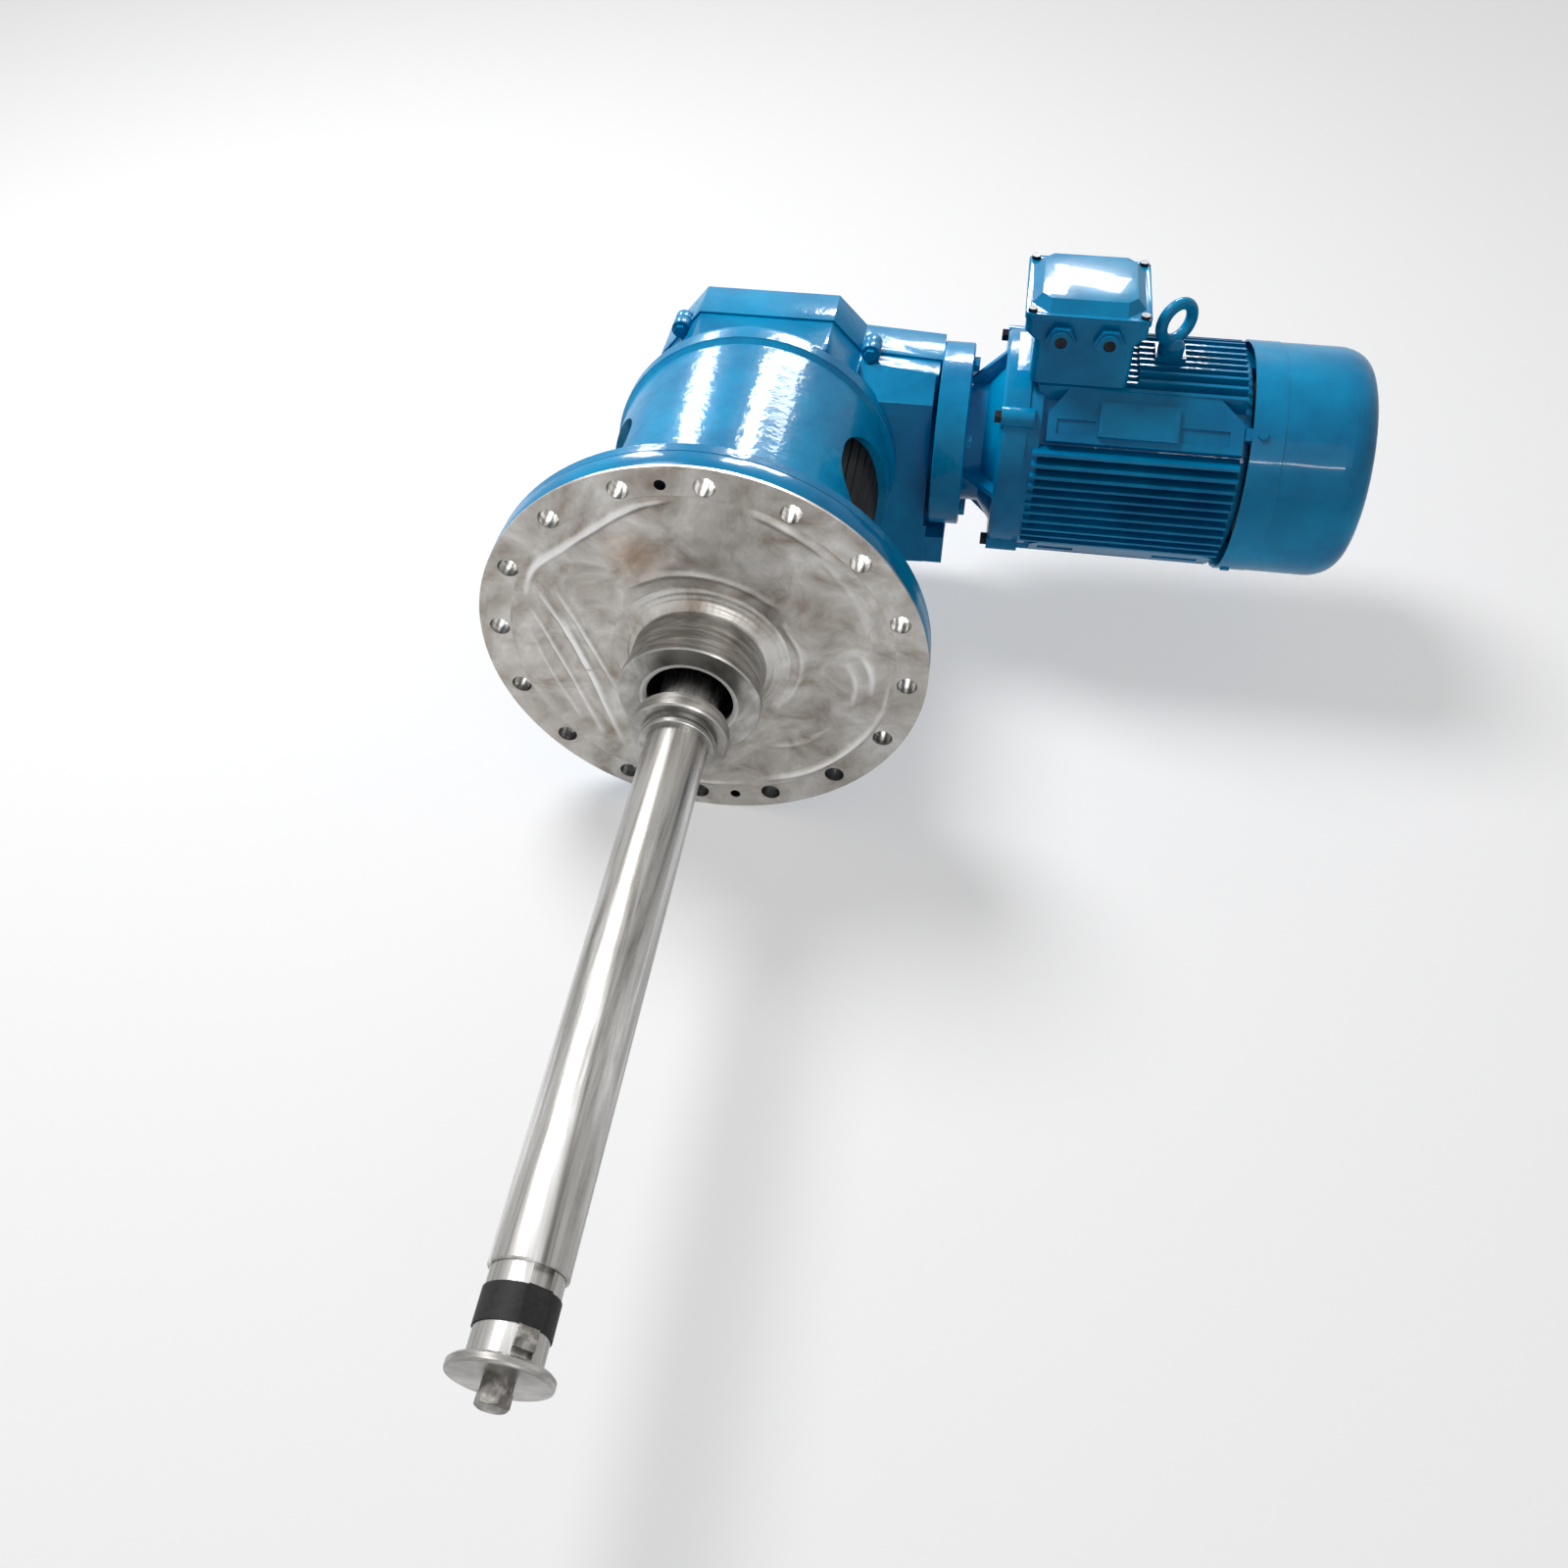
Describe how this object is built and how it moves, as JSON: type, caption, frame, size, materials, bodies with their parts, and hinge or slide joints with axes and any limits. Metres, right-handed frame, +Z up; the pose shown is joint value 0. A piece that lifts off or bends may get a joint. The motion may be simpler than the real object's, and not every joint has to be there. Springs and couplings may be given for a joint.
{
  "type": "side entry tank mixer",
  "caption": "Side entry tank mixer drive with flanged lantern, right-angle gearbox, electric motor, shut-off collar and bare propeller shaft.",
  "frame": {"origin": "centre of the tank-side face of the mounting flange, on the shaft axis", "axes": "-Y along the shaft into the tank, +X from the shaft towards the motor, +Z up with the terminal box on top"},
  "size_m": [1.1134, 1.5685, 0.565],
  "materials": {
    "stainless": "brushed",
    "stainless_face": "mottled",
    "blue_paint": "gloss",
    "black_tape": "matt",
    "dark_fastener": "oxide",
    "cast_inner": "machined",
    "gear_steel": "ground",
    "bearing_steel": "polished",
    "seal_carbon": "lapped",
    "copper": "lacquered",
    "white_ptfe": "satin",
    "dark_plastic": "satin",
    "cowl_paint": "gloss"
  },
  "bodies": {
    "housing": {"wetted_face_disc": "stainless_face", "mounting_flange": "blue_paint", "seal_neck": "stainless", "neck_weld": "stainless_face", "shutoff_seat_ring": "stainless", "seat_seal_insert": "white_ptfe", "window_guards": "dark_fastener", "seal_housing": "stainless", "seal_stationary_face": "seal_carbon", "gland_bolts": "stainless", "lantern": "blue_paint", "lantern_screws": "dark_fastener", "gearbox_front_case": "blue_paint", "gearbox_rear_case": "blue_paint", "case_screws": "blue_paint", "output_rear_cover": "blue_paint", "layshaft_rear_cover": "blue_paint", "output_bearings": "bearing_steel", "layshaft_bearings": "bearing_steel", "oil_plugs": "dark_fastener", "input_flange": "blue_paint", "input_bearings": "bearing_steel", "input_flange_screws": "blue_paint", "drive_end_shield": "blue_paint", "shield_screws": "dark_fastener", "motor_frame": "blue_paint", "nameplate": "blue_paint", "stator_core": "cast_inner", "stator_windings": "copper", "nde_shield": "blue_paint", "motor_bearings": "bearing_steel", "terminal_box": "blue_paint", "terminal_box_lid": "blue_paint", "lid_screws": "dark_fastener", "cable_entry_plugs": "blue_paint", "lifting_eye": "blue_paint", "fan_cowl": "cowl_paint", "cowl_screws": "cowl_paint"},
    "output": {"output_hollow_shaft": "gear_steel", "output_wheel": "gear_steel"},
    "mixer_shaft": {"mixer_shaft": "stainless", "shutoff_collar": "stainless", "seal_sleeve": "stainless", "seal_rotating_face": "seal_carbon", "propeller_key": "stainless", "keyway_tape": "black_tape", "retaining_washer": "stainless", "spring_washer": "stainless", "retaining_bolt": "stainless"},
    "layshaft": {"layshaft": "gear_steel", "bevel_wheel": "gear_steel", "spur_pinion": "gear_steel"},
    "rotor": {"motor_shaft": "gear_steel", "rotor_core": "cast_inner", "cooling_fan": "dark_plastic", "coupling": "cast_inner", "bevel_pinion_shaft": "gear_steel"}
  },
  "joints": [
    {"name": "output_spin", "type": "hinge", "parent": "housing", "child": "output", "pos_m": [0, 0.5, 0], "axis": [0, 1, 0], "continuous": true},
    {"name": "shutoff_slide", "type": "slide", "parent": "output", "child": "mixer_shaft", "axis": [0, 1, 0], "range_m": [0, 0.033]},
    {"name": "layshaft_spin", "type": "hinge", "parent": "housing", "child": "layshaft", "pos_m": [0.14979, 0.505, 0.008], "axis": [0, 1, 0], "continuous": true},
    {"name": "motor_spin", "type": "hinge", "parent": "housing", "child": "rotor", "pos_m": [0.5, 0.505, 0.008], "axis": [1, 0, 0], "continuous": true}
  ],
  "couplings": [
    {"joint": "layshaft_spin", "follows": "output_spin", "ratio": -2.5294},
    {"joint": "motor_spin", "follows": "output_spin", "ratio": 5.2275}
  ]
}
